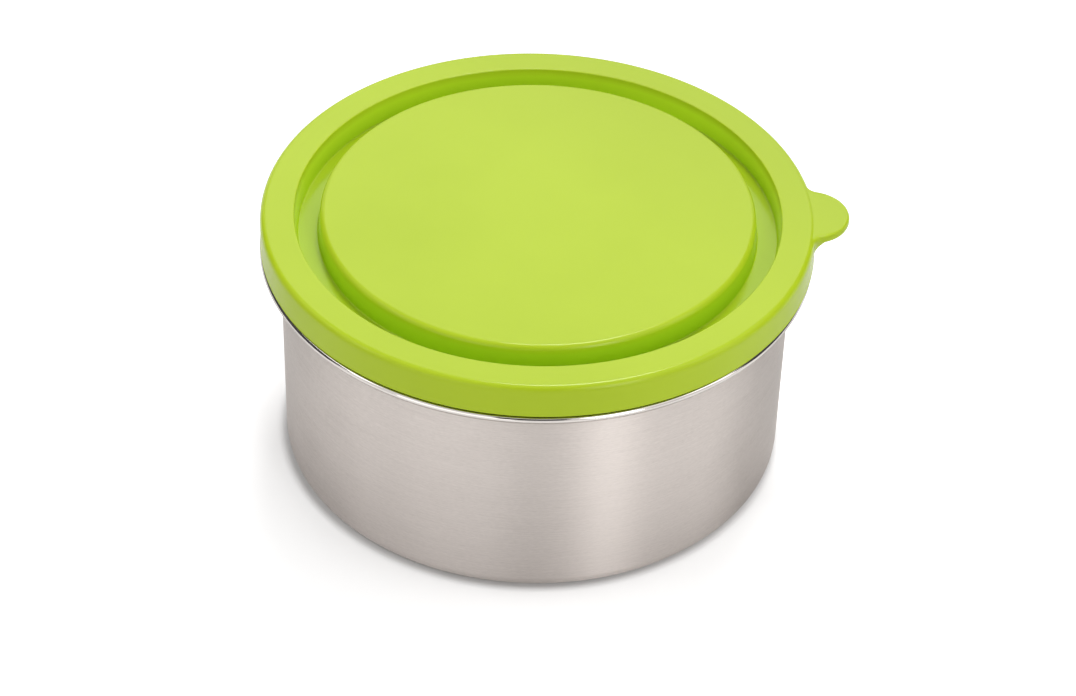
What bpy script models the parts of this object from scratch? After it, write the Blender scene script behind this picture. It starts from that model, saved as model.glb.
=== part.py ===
# Round stainless food box with a soft press-on lid and a pull tab.
# Metres, +Z up. The origin is the centre of the base, and the pull tab points along +X.

import math

import bmesh
import bpy

OBJECT_NAME = "stainless_food_box"

# Gap kept between pieces that touch, and how finely round shapes are divided
CLEARANCE = 0.0003
TURN_STEPS = 72
ARC_STEP = math.radians(30.0)

# Container: one cup drawn from sheet, its rim turned outwards and down and ending in a rolled bead
SHEET = 0.0006
WALL_BASE_RADIUS = 0.0645
WALL_RIM_RADIUS = 0.0651
BASE_CORNER = 0.0038
RIM_HEIGHT = 0.0685
RIM_RADIUS = 0.0687
RIM_FOLD = 0.0014
BEAD_RADIUS = 0.00095
BEAD_CENTRE_RADIUS = 0.0690
BEAD_HEIGHT = 0.0600

# Lid: a crown panel inside a groove, a ring over the rim, a skirt outside it and a plug inside it
LID_RADIUS = 0.0700
LID_WALL = 0.0016
SKIRT_DEPTH = 0.0089
SKIRT_FLARE = 0.0001
RING_INNER_RADIUS = 0.0615
RING_ROUND = 0.0016
RING_INNER_ROUND = 0.0005
GROOVE_DEPTH = 0.0061
GROOVE_OUTER_RADIUS = 0.0607
GROOVE_INNER_RADIUS = 0.0555
CROWN_RADIUS = 0.0549
CROWN_RISE = 0.0002
CROWN_ROUND = 0.0011
SEAL_RIB_HEIGHT = 0.0012
SEAL_RIB_DROP = 0.0026
FILLET = 0.0006

# Pull tab: a half-round tongue joined to the ring through hollow fillets
TAB_RADIUS = 0.0099
TAB_CENTRE = 0.0688
TAB_THICKNESS = 0.0020
TAB_DROP = 0.0004
TAB_EDGE_ROUND = 0.0006
TAB_FILLET = 0.0029
TAB_ROOT_DEPTH = 0.0017

# The lid's ring lies on the rim, so the skirt's lower edge hangs this high above the base
RING_SEAT = RIM_HEIGHT + CLEARANCE
SKIRT_HEIGHT = RING_SEAT + LID_WALL - SKIRT_DEPTH

STEEL = {"colour": (0.60, 0.56, 0.53, 1.0), "metallic": 1.0, "roughness": 0.34}
LIME_PLASTIC = {"colour": (0.54, 0.72, 0.09, 1.0), "metallic": 0.0, "roughness": 0.42}


def clear_scene():
    for old in list(bpy.data.objects):
        bpy.data.objects.remove(old, do_unlink=True)


def new_collection(name):
    collection = bpy.data.collections.new(name)
    bpy.context.scene.collection.children.link(collection)
    return collection


def new_material(name, look):
    material = bpy.data.materials.new(name)
    material.use_nodes = True
    shader = material.node_tree.nodes["Principled BSDF"]
    shader.inputs["Base Color"].default_value = look["colour"]
    shader.inputs["Metallic"].default_value = look["metallic"]
    shader.inputs["Roughness"].default_value = look["roughness"]
    return material


def arc(centre_x, centre_y, radius, start, end):
    count = max(2, math.ceil(abs(end - start) / ARC_STEP))
    angles = [start + (end - start) * step / count for step in range(count + 1)]
    return [(centre_x + radius * math.cos(a), centre_y + radius * math.sin(a)) for a in angles]


def rounded(corners):
    # Outline through corners given as (radius, height, rounding), each turned as an arc
    outline = [corners[0][:2]]
    for before, corner, after in zip(corners, corners[1:], corners[2:]):
        x, y, rounding = corner
        if rounding == 0.0:
            outline.append((x, y))
            continue
        heading_in = math.atan2(y - before[1], x - before[0])
        turn = math.atan2(after[1] - y, after[0] - x) - heading_in
        turn = math.remainder(turn, 2.0 * math.pi)
        side = math.copysign(math.pi / 2.0, turn)
        setback = rounding * math.tan(abs(turn) / 2.0)
        start_x = x - setback * math.cos(heading_in)
        start_y = y - setback * math.sin(heading_in)
        centre_x = start_x + rounding * math.cos(heading_in + side)
        centre_y = start_y + rounding * math.sin(heading_in + side)
        first = heading_in - side
        outline.extend(arc(centre_x, centre_y, rounding, first, first + turn))
    outline.append(corners[-1][:2])
    return outline


def turned_piece(name, outline, material, collection):
    # Outline from the axis, over the outside from top to bottom, and back to the axis
    mesh = bpy.data.meshes.new(name)
    profile = bmesh.new()
    points = [profile.verts.new((radius, 0.0, height)) for radius, height in outline]
    for upper, lower in zip(points, points[1:]):
        profile.edges.new((upper, lower))
    profile.to_mesh(mesh)
    profile.free()
    mesh.materials.append(material)
    piece = bpy.data.objects.new(name, mesh)
    collection.objects.link(piece)
    screw = piece.modifiers.new("turning", "SCREW")
    screw.axis = "Z"
    screw.steps = TURN_STEPS
    screw.render_steps = TURN_STEPS
    screw.use_merge_vertices = True
    screw.merge_threshold = 0.00001
    screw.use_smooth_shade = True
    return piece


def flat_piece(name, outline, thickness, edge_round, material, collection):
    # Flat outline with a rounded edge, centred on its own thickness
    curve = bpy.data.curves.new(name, "CURVE")
    curve.dimensions = "2D"
    curve.fill_mode = "BOTH"
    curve.extrude = thickness / 2.0 - edge_round
    curve.bevel_depth = edge_round
    curve.bevel_resolution = 1
    curve.offset = -edge_round
    spline = curve.splines.new("POLY")
    spline.points.add(len(outline) - 1)
    for point, (x, y) in zip(spline.points, outline):
        point.co = (x, y, 0.0, 1.0)
    spline.use_cyclic_u = True
    drawn = bpy.data.objects.new(name + "_outline", curve)
    collection.objects.link(drawn)
    bpy.context.view_layer.update()
    evaluated = drawn.evaluated_get(bpy.context.evaluated_depsgraph_get())
    mesh = bpy.data.meshes.new_from_object(evaluated)
    bpy.data.objects.remove(drawn, do_unlink=True)
    solid = bmesh.new()
    solid.from_mesh(mesh)
    bmesh.ops.remove_doubles(solid, verts=solid.verts, dist=0.00001)
    bmesh.ops.recalc_face_normals(solid, faces=solid.faces)
    solid.to_mesh(mesh)
    solid.free()
    mesh.name = name
    mesh.materials.clear()
    mesh.materials.append(material)
    mesh.shade_smooth()
    mesh.set_sharp_from_angle(angle=math.radians(40.0))
    piece = bpy.data.objects.new(name, mesh)
    collection.objects.link(piece)
    return piece


def container_outline():
    # Inner floor, inner wall, over the rim, round the bead, and down the outer wall to the base
    inner_corner = BASE_CORNER - SHEET
    inner_fold = RIM_FOLD - SHEET
    leg_inner_radius = RIM_RADIUS - SHEET
    bead_start = math.acos((RIM_RADIUS - BEAD_CENTRE_RADIUS) / BEAD_RADIUS)
    bead_end = math.acos((leg_inner_radius - BEAD_CENTRE_RADIUS) / BEAD_RADIUS) - 2.0 * math.pi
    bead = arc(BEAD_CENTRE_RADIUS, BEAD_HEIGHT, BEAD_RADIUS, bead_start, bead_end)
    corners = [
        (0.0, SHEET, 0.0),
        (WALL_BASE_RADIUS - SHEET, SHEET, inner_corner),
        (WALL_RIM_RADIUS - SHEET, RIM_HEIGHT, RIM_FOLD),
        (RIM_RADIUS, RIM_HEIGHT, RIM_FOLD),
    ]
    corners += [(radius, height, 0.0) for radius, height in bead]
    corners += [
        (leg_inner_radius, RIM_HEIGHT - SHEET, inner_fold),
        (WALL_RIM_RADIUS, RIM_HEIGHT - SHEET, inner_fold),
        (WALL_BASE_RADIUS, 0.0, BASE_CORNER),
        (0.0, 0.0, 0.0),
    ]
    return rounded(corners)


def lid_outline():
    # Heights are measured up from the skirt's lower edge
    ring_top = SKIRT_DEPTH
    ring_under = ring_top - LID_WALL
    crown_top = ring_top + CROWN_RISE
    groove_floor = ring_top - GROOVE_DEPTH
    plug_bottom = groove_floor - LID_WALL
    skirt_inner_radius = RIM_RADIUS + CLEARANCE
    plug_top_radius = RING_INNER_RADIUS + LID_WALL
    plug_bottom_radius = GROOVE_OUTER_RADIUS + LID_WALL
    rib_radius = WALL_RIM_RADIUS - SHEET - 2.0 * CLEARANCE
    rib_height = ring_under - SEAL_RIB_DROP
    return rounded([
        (0.0, crown_top, 0.0),
        (CROWN_RADIUS, crown_top, CROWN_ROUND),
        (GROOVE_INNER_RADIUS, groove_floor, FILLET),
        (GROOVE_OUTER_RADIUS, groove_floor, FILLET),
        (RING_INNER_RADIUS, ring_top, RING_INNER_ROUND),
        (LID_RADIUS, ring_top, RING_ROUND),
        (LID_RADIUS + SKIRT_FLARE, 0.0, FILLET / 2.0),
        (skirt_inner_radius, 0.0, FILLET),
        (skirt_inner_radius, ring_under, FILLET),
        (plug_top_radius, ring_under, FILLET),
        (plug_top_radius, rib_height + SEAL_RIB_HEIGHT, 0.0),
        (rib_radius, rib_height, 0.0),
        (plug_top_radius, rib_height - SEAL_RIB_HEIGHT, 0.0),
        (plug_bottom_radius, plug_bottom, FILLET),
        (GROOVE_INNER_RADIUS - LID_WALL, plug_bottom, FILLET),
        (CROWN_RADIUS - LID_WALL, crown_top - LID_WALL, FILLET),
        (0.0, crown_top - LID_WALL, 0.0),
    ])


def tab_fillet_centre():
    # The hollow fillet touches both the lid's outside and the tab's round edge
    from_axis = LID_RADIUS + TAB_FILLET
    from_tab = TAB_RADIUS + TAB_FILLET
    x = (from_axis ** 2 - from_tab ** 2 + TAB_CENTRE ** 2) / (2.0 * TAB_CENTRE)
    return x, math.sqrt(from_axis ** 2 - x ** 2)


def tab_root_outline():
    # Short land moulded on the ring, from inside the skirt to the end of the hollow fillets
    fillet_x, fillet_y = tab_fillet_centre()
    to_ring = math.atan2(-fillet_y, -fillet_x)
    to_tab = math.atan2(-fillet_y, TAB_CENTRE - fillet_x)
    left = arc(fillet_x, fillet_y, TAB_FILLET, to_ring, to_tab)
    buried_x = LID_RADIUS - TAB_ROOT_DEPTH
    buried_y = left[0][1]
    right = [(x, -y) for x, y in reversed(left)]
    return [(buried_x, buried_y)] + left + right + [(buried_x, -buried_y)]


def tab_outline(root_x, hinge_x):
    # Round tongue beyond a straight root, measured from its hinge line
    half_angle = math.acos((root_x - TAB_CENTRE) / TAB_RADIUS)
    return arc(TAB_CENTRE - hinge_x, 0.0, TAB_RADIUS, -half_angle, half_angle)


def build():
    clear_scene()
    parts = new_collection(OBJECT_NAME)
    cutters = new_collection("joined_shapes")
    steel = new_material("brushed_steel", STEEL)
    plastic = new_material("lime_plastic", LIME_PLASTIC)
    tab_plastic = new_material("lime_plastic_tab", LIME_PLASTIC)

    turned_piece("container", container_outline(), steel, parts)

    lid = turned_piece("lid", lid_outline(), plastic, parts)
    lid.location.z = SKIRT_HEIGHT

    tab_height = SKIRT_DEPTH - TAB_DROP - TAB_THICKNESS / 2.0
    root_outline = tab_root_outline()
    land = flat_piece("tab_root", root_outline, TAB_THICKNESS, 0.0, plastic, cutters)
    land.parent = lid
    land.location.z = tab_height
    land.hide_render = True
    land.display_type = "WIRE"
    join = lid.modifiers.new("tab_root", "BOOLEAN")
    join.operation = "UNION"
    join.object = land

    root_x = max(x for x, y in root_outline) + CLEARANCE
    hinge_x = root_x + TAB_THICKNESS / 2.0
    tab_shape = tab_outline(root_x, hinge_x)
    tab = flat_piece("pull_tab", tab_shape, TAB_THICKNESS, TAB_EDGE_ROUND, tab_plastic, parts)
    tab.parent = lid
    tab.location = (hinge_x, 0.0, tab_height)
    print("pull tab hinge at x", round(hinge_x, 6), "z", round(SKIRT_HEIGHT + tab_height, 6))


build()
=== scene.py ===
import math

import bmesh
import bpy
from mathutils import Matrix, Vector


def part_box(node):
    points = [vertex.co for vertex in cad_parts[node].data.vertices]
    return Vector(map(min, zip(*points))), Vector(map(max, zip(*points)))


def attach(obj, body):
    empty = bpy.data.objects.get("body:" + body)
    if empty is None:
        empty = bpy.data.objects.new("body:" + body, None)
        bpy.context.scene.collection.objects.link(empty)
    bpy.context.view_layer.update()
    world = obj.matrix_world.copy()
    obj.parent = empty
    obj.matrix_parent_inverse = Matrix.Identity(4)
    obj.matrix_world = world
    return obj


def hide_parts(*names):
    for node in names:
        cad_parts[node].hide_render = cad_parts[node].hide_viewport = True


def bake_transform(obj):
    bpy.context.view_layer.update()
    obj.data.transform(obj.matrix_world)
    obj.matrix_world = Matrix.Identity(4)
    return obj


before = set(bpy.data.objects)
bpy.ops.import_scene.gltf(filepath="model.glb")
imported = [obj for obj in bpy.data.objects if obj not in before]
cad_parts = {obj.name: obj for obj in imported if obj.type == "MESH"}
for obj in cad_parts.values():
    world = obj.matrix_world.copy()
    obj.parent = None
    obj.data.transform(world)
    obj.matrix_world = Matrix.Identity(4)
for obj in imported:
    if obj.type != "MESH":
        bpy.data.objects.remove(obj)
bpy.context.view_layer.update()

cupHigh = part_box("container")[1]
lidLow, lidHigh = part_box("lid")
tabLow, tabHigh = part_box("pull_tab")
print("frame loaded:", sorted(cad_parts))


# shared mesh steps

turning = {"steps": 288, "arcSegments": 8, "mergeDistance": 1e-6}
shading = {"sharpAngle": math.radians(40.0), "faceWeight": 80}


def turnedShell(corners):
    # corners run from the axis round the wall's section and back to it: radius, height, rounding
    bm = bmesh.new()
    points = [bm.verts.new((radius, 0.0, height)) for radius, height, rounding in corners]
    for upper, lower in zip(points, points[1:]):
        bm.edges.new((upper, lower))
    for point, (radius, height, rounding) in zip(points, corners):
        if rounding > 0.0:
            bmesh.ops.bevel(bm, geom=[point], offset=rounding, offset_type="OFFSET", affect="VERTICES",
                            segments=turning["arcSegments"], profile=0.5, material=-1)
    bmesh.ops.spin(bm, geom=bm.verts[:] + bm.edges[:], cent=(0.0, 0.0, 0.0), axis=(0.0, 0.0, 1.0),
                   angle=2.0 * math.pi, steps=turning["steps"], use_merge=True)
    bmesh.ops.remove_doubles(bm, verts=bm.verts[:], dist=turning["mergeDistance"])
    bmesh.ops.recalc_face_normals(bm, faces=bm.faces[:])
    return bm


def newObject(name, bm, materials):
    mesh = bpy.data.meshes.new(name)
    bm.to_mesh(mesh)
    bm.free()
    for material in materials:
        mesh.materials.append(material)
    piece = bpy.data.objects.new(name, mesh)
    bpy.context.scene.collection.objects.link(piece)
    return piece


def smoothPiece(name, bm, materials):
    piece = newObject(name, bm, materials)
    piece.data.shade_smooth()
    piece.data.set_sharp_from_angle(angle=shading["sharpAngle"])
    weighted = piece.modifiers.new("evenShading", "WEIGHTED_NORMAL")  # keeps the flat panels flat
    weighted.keep_sharp = True
    weighted.weight = shading["faceWeight"]
    print(name, "faces:", len(piece.data.polygons))
    return piece


# node helpers

def newShader(name):
    material = bpy.data.materials.new(name)
    material.use_nodes = True
    tree = material.node_tree
    return material, tree, tree.nodes["Principled BSDF"]


def addNode(tree, kind, inputs=None, **settings):
    node = tree.nodes.new(kind)
    for key, value in settings.items():
        setattr(node, key, value)
    for key, value in (inputs or {}).items():
        if isinstance(value, bpy.types.NodeSocket):
            tree.links.new(value, node.inputs[key])
        else:
            node.inputs[key].default_value = value
    return node


def mathNode(tree, operation, *values):
    return addNode(tree, "ShaderNodeMath", dict(enumerate(values)), operation=operation).outputs[0]


def rangeNode(tree, value, fromMin, fromMax, toMin, toMax):
    node = addNode(tree, "ShaderNodeMapRange", {"Value": value, "From Min": fromMin, "From Max": fromMax,
                                                "To Min": toMin, "To Max": toMax})
    return node.outputs["Result"]


def mixColours(tree, factor, first, second):
    node = addNode(tree, "ShaderNodeMix", {"Factor": factor, 6: first, 7: second}, data_type="RGBA")
    return node.outputs[2]


def noiseNode(tree, vector, scale, detail):
    node = addNode(tree, "ShaderNodeTexNoise", {"Vector": vector, "Scale": scale, "Detail": detail})
    return node.outputs["Fac"]


def bumpNode(tree, height, strength, distance):
    node = addNode(tree, "ShaderNodeBump", {"Strength": strength, "Distance": distance, "Height": height})
    return node.outputs[0]


def axisRadius(tree, axes):
    # distance from the turning axis
    flat = addNode(tree, "ShaderNodeCombineXYZ", {"X": axes["X"], "Y": axes["Y"]}).outputs[0]
    return addNode(tree, "ShaderNodeVectorMath", {0: flat}, operation="LENGTH").outputs["Value"]


def distanceFrom(tree, place, middle):
    node = addNode(tree, "ShaderNodeVectorMath", {0: place, 1: middle}, operation="DISTANCE")
    return node.outputs["Value"]


def weighNoise(tree, parts):
    # noise values about 0.5, each times its weight, added to a middle of 0.5
    total = 0.5
    for noise, weight in parts:
        swing = mathNode(tree, "MULTIPLY_ADD", noise, weight, -0.5 * weight)
        total = mathNode(tree, "ADD", swing, total)
    return total


# brushed steel: short grain runs round the axis on the wall and on the base alike

brushedSteel = {
    "pale": (0.684, 0.628, 0.592, 1.0),
    "deep": (0.563, 0.514, 0.482, 1.0),
    "dash": {"around": 800.0, "across": 5200.0, "detail": 1.0, "weight": 0.9},
    "streak": {"around": 60.0, "across": 2600.0, "detail": 1.0, "weight": 0.5},
    "blotch": {"around": 45.0, "across": 60.0, "detail": 2.0, "weight": 0.35},
    "toneLow": 0.2,
    "toneHigh": 0.8,
    "roughnessLow": 0.36,
    "roughnessHigh": 0.48,
    "anisotropy": 0.9,
    "grainTurn": 0.25,
    "grainDepth": 0.00002,
    "grainStrength": 0.2,
}


def steelShader(name, look):
    material, tree, shader = newShader(name)
    place = addNode(tree, "ShaderNodeTexCoord").outputs["Object"]
    axes = addNode(tree, "ShaderNodeSeparateXYZ", {0: place}).outputs
    across = mathNode(tree, "SUBTRACT", axes["Z"], axisRadius(tree, axes))

    def grain(layer):
        vector = addNode(tree, "ShaderNodeCombineXYZ", {
            "X": mathNode(tree, "MULTIPLY", axes["X"], layer["around"]),
            "Y": mathNode(tree, "MULTIPLY", axes["Y"], layer["around"]),
            "Z": mathNode(tree, "MULTIPLY", across, layer["across"])}).outputs[0]
        return noiseNode(tree, vector, 1.0, layer["detail"])

    dash = grain(look["dash"])
    streak = grain(look["streak"])
    blotch = grain(look["blotch"])
    tone = weighNoise(tree, [(dash, look["dash"]["weight"]), (streak, look["streak"]["weight"]),
                             (blotch, look["blotch"]["weight"])])
    tree.links.new(mixColours(tree, tone, look["deep"], look["pale"]), shader.inputs["Base Color"])
    rough = rangeNode(tree, tone, look["toneLow"], look["toneHigh"],
                      look["roughnessHigh"], look["roughnessLow"])
    tree.links.new(rough, shader.inputs["Roughness"])
    bump = bumpNode(tree, dash, look["grainStrength"], look["grainDepth"])
    tree.links.new(bump, shader.inputs["Normal"])
    around = addNode(tree, "ShaderNodeCombineXYZ", {
        "X": mathNode(tree, "MULTIPLY", axes["Y"], -1.0), "Y": axes["X"]}).outputs[0]
    turned = addNode(tree, "ShaderNodeVectorTransform", {0: around}, vector_type="VECTOR",
                     convert_from="OBJECT", convert_to="WORLD").outputs[0]
    tree.links.new(turned, shader.inputs["Tangent"])
    shader.inputs["Metallic"].default_value = 1.0
    shader.inputs["Anisotropic"].default_value = look["anisotropy"]
    shader.inputs["Anisotropic Rotation"].default_value = look["grainTurn"]
    return material


# polished steel on the rim's fold and bead

polishedRim = {
    "pale": (0.64, 0.605, 0.575, 1.0),
    "deep": (0.57, 0.535, 0.505, 1.0),
    "smudgeScale": 90.0,
    "smudgeDetail": 3.0,
    "smudgeLow": 0.3,
    "smudgeHigh": 0.7,
    "roughnessLow": 0.05,
    "roughnessHigh": 0.10,
}


def rimShader(name, look):
    material, tree, shader = newShader(name)
    place = addNode(tree, "ShaderNodeTexCoord").outputs["Object"]
    smudge = noiseNode(tree, place, look["smudgeScale"], look["smudgeDetail"])
    tone = rangeNode(tree, smudge, look["smudgeLow"], look["smudgeHigh"], 0.0, 1.0)
    tree.links.new(mixColours(tree, tone, look["deep"], look["pale"]), shader.inputs["Base Color"])
    rough = rangeNode(tree, smudge, look["smudgeLow"], look["smudgeHigh"],
                      look["roughnessHigh"], look["roughnessLow"])
    tree.links.new(rough, shader.inputs["Roughness"])
    shader.inputs["Metallic"].default_value = 1.0
    return material


# soft lime plastic of the lid

limePlastic = {
    "colour": (0.464, 0.616, 0.018, 1.0),
    "cloud": (0.440, 0.589, 0.016, 1.0),
    "cloudScale": 22.0,
    "cloudDetail": 4.0,
    "cloudLow": 0.35,
    "cloudHigh": 0.65,
    "deep": (0.415, 0.553, 0.014, 1.0),  # painted shade: darker towards the tab and the back
    "paintedShadeFrom": 0.020,
    "paintedShadeTo": 0.085,
    "glow": (0.428, 0.650, 0.019, 1.0),  # painted light: brighter green for light let through the thin groove walls
    "ringPaintedLight": (0.590, 0.800, 0.032, 1.0),
    "paintedLightFrom": 0.0003,
    "paintedLightTo": 0.0024,
    "paintedLightFade": 0.0001,
    "pebbleScale": 1400.0,
    "pebbleDetail": 2.0,
    "pebbleDepth": 0.00003,
    "pebbleStrength": 0.12,
    "roughFrom": 0.7,  # cloud and pebble added
    "roughTo": 1.3,
    "roughnessLow": 0.16,
    "roughnessHigh": 0.22,
    "specular": 0.21,
}


def plasticShader(name, look, lid):
    material, tree, shader = newShader(name)
    place = addNode(tree, "ShaderNodeTexCoord").outputs["Object"]
    axes = addNode(tree, "ShaderNodeSeparateXYZ", {0: place}).outputs
    cloud = noiseNode(tree, place, look["cloudScale"], look["cloudDetail"])
    pebble = noiseNode(tree, place, look["pebbleScale"], look["pebbleDetail"])
    tone = rangeNode(tree, cloud, look["cloudLow"], look["cloudHigh"], 0.0, 1.0)
    colour = mixColours(tree, tone, look["colour"], look["cloud"])
    # painted shade: the colour darkens towards the tab and the back
    backRight = mathNode(tree, "ADD", axes["X"], axes["Y"])
    paintedShadeShare = rangeNode(tree, backRight, look["paintedShadeFrom"], look["paintedShadeTo"], 0.0, 1.0)
    colour = mixColours(tree, paintedShadeShare, colour, look["deep"])

    # painted light: brighter green on the groove's two walls, between their upper edges and its floor
    radius = axisRadius(tree, axes)
    grooveMiddle = (lid["grooveInner"] + lid["grooveOuter"]) / 2.0
    grooveHalf = (lid["grooveOuter"] - lid["grooveInner"]) / 2.0
    offGroove = mathNode(tree, "ABSOLUTE", mathNode(tree, "SUBTRACT", radius, grooveMiddle))
    inGroove = mathNode(tree, "LESS_THAN", offGroove, grooveHalf + lid["wall"])
    under = mathNode(tree, "SUBTRACT", lidHigh.z, axes["Z"])
    low = rangeNode(tree, under, look["paintedLightFrom"], look["paintedLightTo"], 0.0, 1.0)
    aboveFloor = rangeNode(tree, under, lid["grooveDepth"] - look["paintedLightFade"],
                           lid["grooveDepth"] + look["paintedLightFade"], 1.0, 0.0)
    glow = mathNode(tree, "MULTIPLY", mathNode(tree, "MULTIPLY", low, aboveFloor), inGroove)
    ringSide = mathNode(tree, "GREATER_THAN", radius, grooveMiddle)
    colour = mixColours(tree, glow, colour, mixColours(tree, ringSide, look["glow"], look["ringPaintedLight"]))
    tree.links.new(colour, shader.inputs["Base Color"])

    rough = rangeNode(tree, mathNode(tree, "ADD", cloud, pebble), look["roughFrom"], look["roughTo"],
                      look["roughnessLow"], look["roughnessHigh"])
    tree.links.new(rough, shader.inputs["Roughness"])
    bump = bumpNode(tree, pebble, look["pebbleStrength"], look["pebbleDepth"])
    tree.links.new(bump, shader.inputs["Normal"])
    shader.inputs["Specular IOR Level"].default_value = look["specular"]
    return material


# container: drawn cup with a turned-down rim that ends in a round bead

steelCup = {
    "sheet": 0.0006,
    "wallBase": 0.0645,
    "wallRim": 0.0651,
    "baseCorner": 0.0038,
    "rimRadius": 0.0687,
    "rimFold": 0.0014,
    "beadMiddle": 0.0692,
    "beadHeight": 0.0600,
    "beadRadius": 0.00095,
    "beadRound": 0.00094,
    "beadInnerRound": 0.0008,
    "beadWaist": 0.05985,
    "beadFoot": 0.06965,
    "beadFootRound": 0.0002,
    "neckRound": 0.0002,
}


def buildContainer(cup):
    rimTop = cupHigh.z
    sheet = cup["sheet"]
    beadTop = cup["beadHeight"] + cup["beadRadius"]
    beadBottom = cup["beadHeight"] - cup["beadRadius"]
    beadOuter = cup["beadMiddle"] + cup["beadRadius"]
    legInner = cup["rimRadius"] - sheet
    bm = turnedShell([
        (0.0, sheet, 0.0),
        (cup["wallBase"] - sheet, sheet, cup["baseCorner"] - sheet),
        (cup["wallRim"] - sheet, rimTop, cup["rimFold"]),
        (cup["rimRadius"], rimTop, cup["rimFold"]),
        (cup["rimRadius"], beadTop, cup["neckRound"]),
        (beadOuter, beadTop, cup["beadRound"]),
        (beadOuter, cup["beadWaist"], cup["beadFootRound"]),
        (cup["beadFoot"], beadBottom, cup["beadFootRound"]),
        (legInner, beadBottom, cup["beadInnerRound"]),
        (legInner, rimTop - sheet, cup["rimFold"] - sheet),
        (cup["wallRim"], rimTop - sheet, cup["rimFold"] - sheet),
        (cup["wallBase"], 0.0, cup["baseCorner"]),
        (0.0, 0.0, 0.0),
    ])
    rimInside = cup["wallRim"] + sheet / 2.0
    foldStart = rimTop - cup["rimFold"]
    for face in bm.faces:
        middle = face.calc_center_median()
        outside = math.hypot(middle.x, middle.y) > rimInside
        if middle.z > foldStart or outside:
            face.material_index = 1
    materials = [steelShader("brushedSteel", brushedSteel), rimShader("polishedRim", polishedRim)]
    piece = smoothPiece("steelContainer", bm, materials)
    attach(piece, "container")
    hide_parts("container")


# lid: crown, groove, ring, skirt and plug in one moulding, with the tab drawn out of the skirt

softLid = {
    "radius": 0.0700,
    "wall": 0.0016,
    "skirtFlare": 0.0001,
    "skirtInner": 0.0691,
    "ringInner": 0.0615,
    "ringRound": 0.0016,
    "ringInnerRound": 0.0003,
    "crownRise": 0.0002,
    "crownRadius": 0.0549,
    "crownRound": 0.0013,
    "grooveFillet": 0.00035,
    "grooveDepth": 0.0061,
    "grooveInner": 0.0555,
    "grooveOuter": 0.0607,
    "ribRadius": 0.0639,
    "ribHalf": 0.0012,
    "ribDrop": 0.0026,
    "fillet": 0.0006,
    "lowerEdge": 0.0002,
    "skirtRise": 0.0002,
    "lipHeight": 0.0006,
    "lipReach": 0.00015,
    "offMiddle": (0.0002, 0.0001, 0.0),  # sits loosely, a little to one side
}

pullTab = {
    "radius": 0.0099,
    "centre": 0.0688,
    "sideFillet": 0.0029,
    "edgeRound": 0.0006,
    "edgeMiddle": math.radians(45.0),  # half way round the edge's quarter circle
    "rootRise": 0.0001,
    "rootDrop": 0.0056,
    "rootShare": 0.45,
    "webShare": 0.25,
    "columns": 8,
    "rows": 32,
    "heightDigits": 7,
    "cornerAngle": math.radians(50.0),
    "insetShare": 0.25,
    "bendStart": 0.0706,
    "bendEnd": 0.0745,
}


def lidCorners(lid):
    bottom = lidLow.z + lid["skirtRise"]
    crownTop = lidHigh.z
    ringTop = crownTop - lid["crownRise"]
    ringUnder = ringTop - lid["wall"]
    grooveFloor = ringTop - lid["grooveDepth"]
    plugBottom = grooveFloor - lid["wall"]
    plugTopRadius = lid["ringInner"] + lid["wall"]
    ribHeight = ringUnder - lid["ribDrop"]
    return [
        (0.0, crownTop, 0.0),
        (lid["crownRadius"], crownTop, lid["crownRound"]),
        (lid["grooveInner"], grooveFloor, lid["grooveFillet"]),
        (lid["grooveOuter"], grooveFloor, lid["grooveFillet"]),
        (lid["ringInner"], ringTop, lid["ringInnerRound"]),
        (lid["radius"], ringTop, lid["ringRound"]),
        (lid["radius"] + lid["skirtFlare"], bottom + lid["lipHeight"], lid["lowerEdge"]),
        (lid["radius"] + lid["skirtFlare"] + lid["lipReach"], bottom, lid["lowerEdge"]),
        (lid["skirtInner"], bottom, lid["lowerEdge"]),
        (lid["skirtInner"], ringUnder, lid["fillet"]),
        (plugTopRadius, ringUnder, lid["fillet"]),
        (plugTopRadius, ribHeight + lid["ribHalf"], 0.0),
        (lid["ribRadius"], ribHeight, lid["fillet"]),
        (plugTopRadius, ribHeight - lid["ribHalf"], 0.0),
        (lid["grooveOuter"] + lid["wall"], plugBottom, lid["fillet"]),
        (lid["grooveInner"] - lid["wall"], plugBottom, lid["fillet"]),
        (lid["crownRadius"] - lid["wall"], crownTop - lid["wall"], lid["fillet"]),
        (0.0, crownTop - lid["wall"], 0.0),
    ]


def tabSide(tab, lidRadius, share, inset):
    # edge of the tab from the ring, round the hollow fillet and on along the tab's round end
    fromAxis = lidRadius + tab["sideFillet"]
    fromTab = tab["radius"] + tab["sideFillet"]
    filletX = (fromAxis ** 2 - fromTab ** 2 + tab["centre"] ** 2) / (2.0 * tab["centre"])
    filletY = math.sqrt(fromAxis ** 2 - filletX ** 2)
    toRing = math.atan2(-filletY, -filletX)
    toTab = math.atan2(-filletY, tab["centre"] - filletX)
    onTab = math.atan2(filletY, filletX - tab["centre"])
    filletLength = tab["sideFillet"] * (toTab - toRing)
    endLength = tab["radius"] * (onTab - tab["cornerAngle"])
    travel = share * (filletLength + endLength)
    if travel < filletLength:
        angle = toRing + (toTab - toRing) * travel / filletLength
        reach = tab["sideFillet"] + inset
        return Vector((filletX + reach * math.cos(angle), filletY + reach * math.sin(angle)))
    angle = onTab - (travel - filletLength) / tab["radius"]
    reach = tab["radius"] - inset
    return Vector((tab["centre"] + reach * math.cos(angle), reach * math.sin(angle)))


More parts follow.
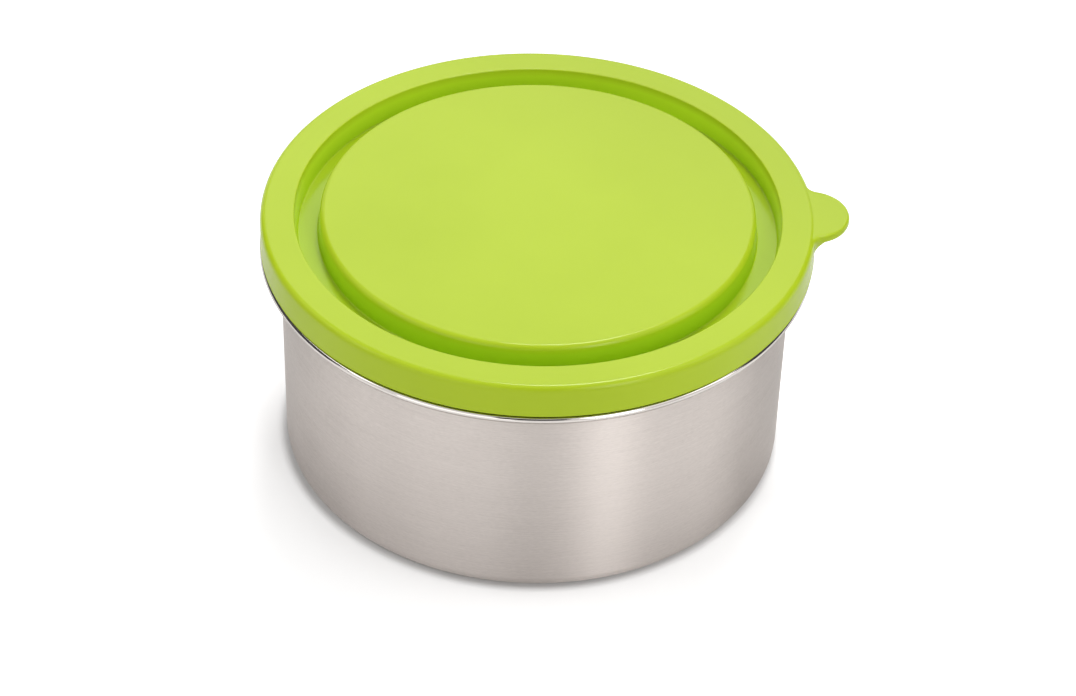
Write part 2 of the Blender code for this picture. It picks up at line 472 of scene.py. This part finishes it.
def tabPoint(tab, lidRadius, rootAngle, column, share, inset):
    # place in plan: column runs from -1 to 1 across the tab, share from the ring to the round end
    inset = inset * min(1.0, share / tab["insetShare"])
    side = tabSide(tab, lidRadius, share, inset)
    tipAngle = tab["cornerAngle"] * column
    reach = tab["radius"] - inset
    root = Vector((lidRadius * math.cos(rootAngle * column), lidRadius * math.sin(rootAngle * column)))
    tip = Vector((tab["centre"] + reach * math.cos(tipAngle), reach * math.sin(tipAngle)))
    across = Vector((side.x, side.y * column))
    rootCorner = Vector((lidRadius * math.cos(rootAngle), lidRadius * math.sin(rootAngle) * column))
    tipCorner = Vector((tab["centre"] + reach * math.cos(tab["cornerAngle"]),
                        reach * math.sin(tab["cornerAngle"]) * column))
    straight = root.lerp(tip, share)
    corners = rootCorner.lerp(tipCorner, share)
    return straight + across - corners


def drawOutTab(bm, lid, tab):
    top, bottom = tabHigh.z, tabLow.z
    edge = tab["edgeRound"]
    bend = edge * (1.0 - math.cos(tab["edgeMiddle"]))
    levels = [(bottom, edge), (bottom + bend, bend), (bottom + edge, 0.0),
              (top - edge, 0.0), (top - bend, bend), (top, edge)]
    roots = [height for height, inset in levels]
    roots[0] -= tab["rootDrop"]
    roots[-1] += tab["rootRise"]  # the tab's top runs up onto the ring's rounding
    step = 2.0 * math.pi / turning["steps"]
    rootAngle = step * tab["columns"]

    skirtInside = lid["radius"] - lid["ringRound"]
    for height in roots:
        skirt = [f for f in bm.faces if math.hypot(*f.calc_center_median().xy) > skirtInside]
        band = {v for f in skirt for v in f.verts} | {e for f in skirt for e in f.edges}
        bmesh.ops.bisect_plane(bm, geom=skirt + list(band), plane_co=(0.0, 0.0, height),
                               plane_no=(0.0, 0.0, 1.0), dist=turning["mergeDistance"])

    def underTab(face):
        middle = face.calc_center_median()
        inside = abs(math.atan2(middle.y, middle.x)) < rootAngle
        outer = math.hypot(middle.x, middle.y) > skirtInside and face.normal.xy.dot(middle.xy) > 0.0
        return inside and outer and roots[0] < middle.z < roots[-1]

    columnLayer = bm.verts.layers.int.new("tabColumn")
    heightLayer = bm.verts.layers.float.new("tabHeight")
    patch = [f for f in bm.faces if underTab(f)]
    ringPlaces = {}
    for vert in {v for f in patch for v in f.verts}:
        column = round(math.atan2(vert.co.y, vert.co.x) / step)
        vert[columnLayer] = column
        vert[heightLayer] = vert.co.z
        ringPlaces[column, round(vert.co.z, tab["heightDigits"])] = vert.co.copy()

    def levelAt(rootHeight):
        # height and inset of the tab's edge for a height on the ring, between the listed levels
        for low in range(len(roots) - 2):
            if rootHeight <= roots[low + 1] + turning["mergeDistance"]:
                break
        else:
            low = len(roots) - 2
        part = (rootHeight - roots[low]) / (roots[low + 1] - roots[low])
        part = min(1.0, max(0.0, part))
        return [a + (b - a) * part for a, b in zip(levels[low], levels[low + 1])]

    for row in range(tab["rows"]):
        share = (row + 1) / tab["rows"]
        grown = bmesh.ops.extrude_face_region(bm, geom=patch)["geom"]
        bmesh.ops.delete(bm, geom=patch, context="FACES_ONLY")
        patch = [g for g in grown if isinstance(g, bmesh.types.BMFace)]
        for vert in (g for g in grown if isinstance(g, bmesh.types.BMVert)):
            height, inset = levelAt(vert[heightLayer])
            column = vert[columnLayer] / tab["columns"]
            web = tab["rootShare"] + tab["webShare"] * column ** 2  # webs at both sides reach further out
            hold = max(0.0, 1.0 - share / web) ** 2
            place = tabPoint(tab, lid["radius"], rootAngle, column, share, inset).to_3d()
            place.z = height
            start = tabPoint(tab, lid["radius"], rootAngle, column, 0.0, inset).to_3d()
            start.z = height
            onRing = ringPlaces[vert[columnLayer], round(vert[heightLayer], tab["heightDigits"])]
            vert.co = place + (onRing - start) * hold
    bmesh.ops.recalc_face_normals(bm, faces=bm.faces[:])


def buildLid(lid, tab):
    bm = turnedShell(lidCorners(lid))
    drawOutTab(bm, lid, tab)
    bmesh.ops.translate(bm, vec=lid["offMiddle"], verts=bm.verts[:])
    piece = smoothPiece("softLid", bm, [plasticShader("limePlastic", limePlastic, lid)])
    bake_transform(piece)
    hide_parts("lid", "pull_tab")


# white floor: the camera and reflections see its glow, which fades into a painted soft shade round the
# box

whiteFloor = {
    "size": 4.0,
    "drop": 0.0002,
    "colour": (0.79, 0.79, 0.79, 1.0),
    "roughness": 0.9,
    "nearGlow": 0.43,
    "farGlow": 0.78,
    "nearRadius": 0.4,
    "farRadius": 2.0,
    "contactMiddle": (-0.0006, 0.0009, 0.0),  # painted dark line where the box stands
    "contactRadius": 0.0640,
    "clearRadius": 0.0664,
    "shadeMiddle": (-0.0040, -0.0008, 0.0),  # painted soft shade, a little to the left
    "shadeRadius": 0.0855,
    "shadeDepth": 0.34,
    "shadePower": 2.0,
    "openGlow": 1.2,
    "mirrorRadius": 0.1600,  # painted shade: reflections show less glow near the box and behind it
    "mirrorEnd": 0.3000,
    "backFrom": -0.0400,
    "backTo": 0.0100,
}


def floorShader(name, floor):
    material, tree, shader = newShader(name)
    shader.inputs["Base Color"].default_value = floor["colour"]
    shader.inputs["Roughness"].default_value = floor["roughness"]
    shader.inputs["Specular IOR Level"].default_value = 0.0
    place = addNode(tree, "ShaderNodeTexCoord").outputs["Object"]
    path = addNode(tree, "ShaderNodeLightPath").outputs
    away = addNode(tree, "ShaderNodeVectorMath", {0: place}, operation="LENGTH").outputs["Value"]
    glow = rangeNode(tree, away, floor["nearRadius"], floor["farRadius"],
                     floor["nearGlow"], floor["farGlow"])

    # share of the glow that the camera sees, held back for the painted dark line and soft shade
    clear = rangeNode(tree, distanceFrom(tree, place, floor["contactMiddle"]),
                      floor["contactRadius"], floor["clearRadius"], 0.0, 1.0)
    shade = rangeNode(tree, distanceFrom(tree, place, floor["shadeMiddle"]),
                      floor["contactRadius"], floor["shadeRadius"], 1.0, 0.0)
    shade = mathNode(tree, "POWER", shade, floor["shadePower"])
    shade = mathNode(tree, "MULTIPLY", shade, floor["shadeDepth"])
    clear = mathNode(tree, "MULTIPLY", clear, mathNode(tree, "SUBTRACT", floor["openGlow"], shade))
    seen = mathNode(tree, "MULTIPLY", path["Is Camera Ray"], clear)

    # share of the glow that reflections show, less near the box and behind it as painted shade
    back = addNode(tree, "ShaderNodeSeparateXYZ", {0: place}).outputs["Y"]
    front = rangeNode(tree, back, floor["backFrom"], floor["backTo"], 1.0, 0.0)
    mirrored = rangeNode(tree, away, floor["contactRadius"], floor["mirrorRadius"], 0.0, 1.0)
    beyond = rangeNode(tree, away, floor["mirrorRadius"], floor["mirrorEnd"], 0.0, 1.0)
    mirrored = mathNode(tree, "MAXIMUM", mathNode(tree, "MULTIPLY", mirrored, front), beyond)
    reflected = mathNode(tree, "MAXIMUM", path["Is Glossy Ray"], path["Is Transmission Ray"])
    seen = mathNode(tree, "MAXIMUM", seen, mathNode(tree, "MULTIPLY", reflected, mirrored))

    shader.inputs["Emission Color"].default_value = (1.0, 1.0, 1.0, 1.0)
    tree.links.new(mathNode(tree, "MULTIPLY", seen, glow), shader.inputs["Emission Strength"])
    return material


def buildFloor(floor):
    bm = bmesh.new()
    bmesh.ops.create_grid(bm, x_segments=1, y_segments=1, size=floor["size"],
                          matrix=Matrix.Translation((0.0, 0.0, -floor["drop"])))
    piece = newObject("floor", bm, [floorShader("whiteFloor", floor)])
    print("floor laid")


# soft studio light: azimuth is measured from the camera's side, positive to the right

studio = {
    "fill": 0.195,
    "boxes": [
        {"name": "backSoftbox", "azimuth": 176.0, "elevation": 40.0, "away": 2.4,
         "wide": 1.76, "tall": 0.8, "power": 7.0},
        {"name": "overheadSoftbox", "azimuth": 167.0, "elevation": 67.0, "away": 2.4,
         "wide": 0.70, "tall": 0.55, "power": 25.6},
        {"name": "rightSoftbox", "azimuth": 32.0, "elevation": 28.0, "away": 1.3,
         "wide": 0.40, "tall": 0.9, "power": 4.3},
        {"name": "leftSoftbox", "azimuth": -28.0, "elevation": 18.0, "away": 1.4,
         "wide": 1.1, "tall": 0.7, "power": 2.3},
        {"name": "topRightSoftbox", "azimuth": 75.0, "elevation": 60.0, "away": 1.4,
         "wide": 0.9, "tall": 0.9, "power": 1.4},
        {"name": "sideRightSoftbox", "azimuth": 95.0, "elevation": 35.0, "away": 1.4,
         "wide": 1.0, "tall": 0.8, "power": 3.3},
        {"name": "sideLeftSoftbox", "azimuth": -95.0, "elevation": 35.0, "away": 1.4,
         "wide": 1.0, "tall": 0.8, "power": 5.2},
    ],
    "cardRoughness": 0.9,
    "cards": [
        {"name": "cameraCard", "azimuth": 0.0, "elevation": 39.0, "away": 1.25,
         "wide": 0.50, "tall": 0.80, "colour": (0.02, 0.02, 0.02, 1.0)},
        {"name": "leftCard", "azimuth": -108.0, "elevation": 22.0, "away": 1.25,
         "wide": 1.45, "tall": 1.1, "colour": (0.08, 0.08, 0.08, 1.0)},
        {"name": "rightCard", "azimuth": 114.0, "elevation": 22.0, "away": 1.25,
         "wide": 1.30, "tall": 1.1, "colour": (0.08, 0.08, 0.08, 1.0)},
    ],
}


def studioPlace(spot, towardsCamera):
    # turned to face the object from its own direction
    turn = Matrix.Rotation(math.radians(spot["azimuth"]), 3, "Z")
    level = math.radians(spot["elevation"])
    back = (turn @ towardsCamera) * math.cos(level) + Vector((0.0, 0.0, math.sin(level)))
    return Matrix.Translation(back * spot["away"]) @ (-back).to_track_quat("-Z", "Y").to_matrix().to_4x4()


def addSoftbox(box, towardsCamera):
    data = bpy.data.lights.new(box["name"], "AREA")
    data.shape = "RECTANGLE"
    data.size = box["wide"]
    data.size_y = box["tall"]
    data.energy = box["power"]
    lamp = bpy.data.objects.new(box["name"], data)
    lamp.matrix_world = studioPlace(box, towardsCamera)
    lamp.visible_camera = False
    bpy.context.scene.collection.objects.link(lamp)


def addCard(card, roughness, towardsCamera):
    # dark card that only reflections show
    bm = bmesh.new()
    size = Matrix.Diagonal((card["wide"] / 2.0, card["tall"] / 2.0, 1.0, 1.0))
    bmesh.ops.create_grid(bm, x_segments=1, y_segments=1, size=1.0,
                          matrix=studioPlace(card, towardsCamera) @ size)
    material, tree, shader = newShader(card["name"])
    shader.inputs["Base Color"].default_value = card["colour"]
    shader.inputs["Roughness"].default_value = roughness
    piece = newObject(card["name"], bm, [material])
    piece.visible_camera = False
    piece.visible_diffuse = False
    piece.visible_shadow = False


def buildLight(light, towardsCamera):
    for box in light["boxes"]:
        addSoftbox(box, towardsCamera)
    for card in light["cards"]:
        addCard(card, light["cardRoughness"], towardsCamera)

    world = bpy.data.worlds.new("studioWorld")
    world.use_nodes = True
    bpy.context.scene.world = world
    tree = world.node_tree
    path = addNode(tree, "ShaderNodeLightPath").outputs
    seen = mathNode(tree, "MAXIMUM", path["Is Camera Ray"], path["Is Glossy Ray"])
    seen = mathNode(tree, "MAXIMUM", seen, path["Is Transmission Ray"])
    strength = rangeNode(tree, seen, 0.0, 1.0, light["fill"], 1.0)
    background = tree.nodes["Background"]
    background.inputs["Color"].default_value = (1.0, 1.0, 1.0, 1.0)
    tree.links.new(strength, background.inputs["Strength"])
    print("softboxes:", len(light["boxes"]), "cards:", len(light["cards"]))


# camera at the photograph's angle, from edges of the lid and wall measured in it

photoView = {
    "lens": 116.45,
    "sensorWidth": 36.0,
    "distance": 0.900,
    "elevation": 39.04,
    "azimuth": -1.66,
    "roll": 1.68,
    "lookHeight": 0.035,
    "aimRight": 0.00095,
    "aimDown": 0.00757,
}


def buildCamera(view):
    turn = Matrix.Rotation(math.radians(view["azimuth"]), 3, "Z")
    towards = turn @ Vector((0.0, -1.0, 0.0))
    level = math.radians(view["elevation"])
    roll = math.radians(view["roll"])
    back = towards * math.cos(level) + Vector((0.0, 0.0, math.sin(level)))
    lookAt = Vector((0.0, 0.0, view["lookHeight"]))
    place = lookAt + back * view["distance"]

    # level axes of the view, turned by its roll, then aimed a little beside the middle
    levelRight = (-back).cross(Vector((0.0, 0.0, 1.0))).normalized()
    levelUp = levelRight.cross(-back)
    right = levelRight * math.cos(roll) + levelUp * math.sin(roll)
    up = levelUp * math.cos(roll) - levelRight * math.sin(roll)
    forward = (lookAt + right * view["aimRight"] - up * view["aimDown"] - place).normalized()
    right = (right - forward * right.dot(forward)).normalized()
    up = right.cross(forward)

    data = bpy.data.cameras.new("photoCamera")
    data.lens = view["lens"]
    data.sensor_width = view["sensorWidth"]
    camera = bpy.data.objects.new("photoCamera", data)
    camera.matrix_world = Matrix.Translation(place) @ Matrix((right, up, -forward)).transposed().to_4x4()
    bpy.context.scene.collection.objects.link(camera)
    bpy.context.scene.camera = camera
    print("camera placed")
    return towards


buildContainer(steelCup)
buildLid(softLid, pullTab)
buildFloor(whiteFloor)
towardsCamera = buildCamera(photoView)
buildLight(studio, towardsCamera)
bpy.context.scene.view_settings.view_transform = "Standard"

bpy.context.view_layer.update()
